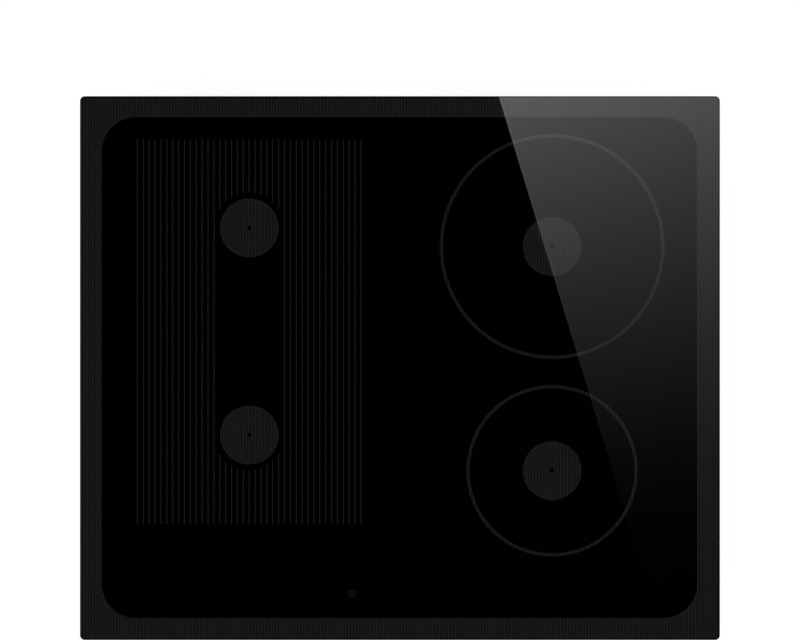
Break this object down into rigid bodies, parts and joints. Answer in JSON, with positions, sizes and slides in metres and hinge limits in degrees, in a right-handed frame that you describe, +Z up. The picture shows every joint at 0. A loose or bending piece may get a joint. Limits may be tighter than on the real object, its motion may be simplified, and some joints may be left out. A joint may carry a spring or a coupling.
{
  "type": "induction cooktop",
  "caption": "Built-in induction cooktop: flat black glass with printed cooking zones and a stripe field over a shallow steel casing with sprung coils, blowers and worktop clips.",
  "frame": {"origin": "under the middle of the casing, on the plane of its underside", "axes": "+X to the right and +Y to the back as the cook stands in front, +Z up through the glass"},
  "size_m": [0.6, 0.51, 0.0551],
  "materials": {
    "black_glass": "polished",
    "print_enamel": "satin",
    "foam_seal": "matte",
    "silicone": "satin",
    "galvanised_steel": "satin",
    "spring_steel": "satin",
    "screw_steel": "bright",
    "aluminium": "satin",
    "black_plastic": "matte",
    "white_plastic": "matte",
    "former_plastic": "matte",
    "circuit_board": "gloss",
    "copper_litz": "satin",
    "ferrite": "matte",
    "mica": "satin",
    "sensor_silicone": "matte",
    "component_black": "satin",
    "component_blue": "gloss",
    "component_grey": "gloss",
    "choke_wire": "satin",
    "conductive_foam": "matte",
    "display_window": "gloss"
  },
  "bodies": {
    "casing": {"glass_top": "black_glass", "zone_print": "print_enamel", "edge_seal": "foam_seal", "bond_bead": "silicone", "glass_frame": "galvanised_steel", "bottom_tray": "galvanised_steel", "frame_screws": "screw_steel", "intake_grilles": "black_plastic", "deck_posts": "screw_steel", "inlet_box": "black_plastic", "cable_gland": "black_plastic", "terminal_block": "white_plastic", "filter_board": "circuit_board", "filter_carrier": "black_plastic", "filter_choke": "choke_wire", "filter_capacitors": "component_blue", "power_board_left": "circuit_board", "power_board_right": "circuit_board", "board_carrier_left": "black_plastic", "board_carrier_right": "black_plastic", "heat_sink_left": "aluminium", "heat_sink_right": "aluminium", "power_transistors": "component_black", "resonance_capacitors": "component_blue", "relays": "component_grey", "fan_housing_left": "black_plastic", "fan_housing_right": "black_plastic", "fan_motors": "component_grey", "touch_board": "circuit_board", "touch_frame": "black_plastic", "touch_pads": "conductive_foam", "display_modules": "display_window", "buzzer": "component_black", "deck_springs_left": "spring_steel", "deck_springs_right": "spring_steel"},
    "coil_deck_left": {"deck_plate_left": "aluminium", "coil_ferrites_left": "ferrite", "mica_sheets_left": "mica", "sensors_left": "sensor_silicone", "coil_former_left_back": "former_plastic", "coil_winding_left_back": "copper_litz", "coil_former_left_front": "former_plastic", "coil_winding_left_front": "copper_litz"},
    "fan_rotor_left": {"fan_rotor_left": "black_plastic"},
    "clip_left_back": {"clip_left_back": "spring_steel"},
    "clip_left_front": {"clip_left_front": "spring_steel"},
    "coil_deck_right": {"deck_plate_right": "aluminium", "coil_ferrites_right": "ferrite", "mica_sheets_right": "mica", "sensors_right": "sensor_silicone", "coil_former_right_back": "former_plastic", "coil_winding_right_back": "copper_litz", "coil_former_right_front": "former_plastic", "coil_winding_right_front": "copper_litz"},
    "fan_rotor_right": {"fan_rotor_right": "black_plastic"},
    "clip_right_back": {"clip_right_back": "spring_steel"},
    "clip_right_front": {"clip_right_front": "spring_steel"}
  },
  "joints": [
    {"name": "coil_deck_left_float", "type": "slide", "parent": "casing", "child": "coil_deck_left", "axis": [0, 0, 1], "range_m": [-0.003, 0], "stiffness_N_per_m": 4000, "springref_m": 0.008, "deforming": ["deck_springs_left"]},
    {"name": "fan_left_spin", "type": "hinge", "parent": "casing", "child": "fan_rotor_left", "pos_m": [-0.185, 0.16, 0.0098], "axis": [0, 0, 1], "continuous": true},
    {"name": "clip_left_back_press", "type": "hinge", "parent": "casing", "child": "clip_left_back", "pos_m": [-0.27564, 0.14, 0.0089], "axis": [0, 1, 0], "range_deg": [0, 8], "stiffness_Nm_per_rad": 1.2},
    {"name": "clip_left_front_press", "type": "hinge", "parent": "casing", "child": "clip_left_front", "pos_m": [-0.27564, -0.14, 0.0089], "axis": [0, 1, 0], "range_deg": [0, 8], "stiffness_Nm_per_rad": 1.2},
    {"name": "coil_deck_right_float", "type": "slide", "parent": "casing", "child": "coil_deck_right", "axis": [0, 0, 1], "range_m": [-0.003, 0], "stiffness_N_per_m": 4000, "springref_m": 0.008, "deforming": ["deck_springs_right"]},
    {"name": "fan_right_spin", "type": "hinge", "parent": "casing", "child": "fan_rotor_right", "pos_m": [0.185, 0.16, 0.0098], "axis": [0, 0, 1], "continuous": true},
    {"name": "clip_right_back_press", "type": "hinge", "parent": "casing", "child": "clip_right_back", "pos_m": [0.27564, 0.14, 0.0089], "axis": [0, -1, 0], "range_deg": [0, 8], "stiffness_Nm_per_rad": 1.2},
    {"name": "clip_right_front_press", "type": "hinge", "parent": "casing", "child": "clip_right_front", "pos_m": [0.27564, -0.14, 0.0089], "axis": [0, -1, 0], "range_deg": [0, 8], "stiffness_Nm_per_rad": 1.2}
  ]
}
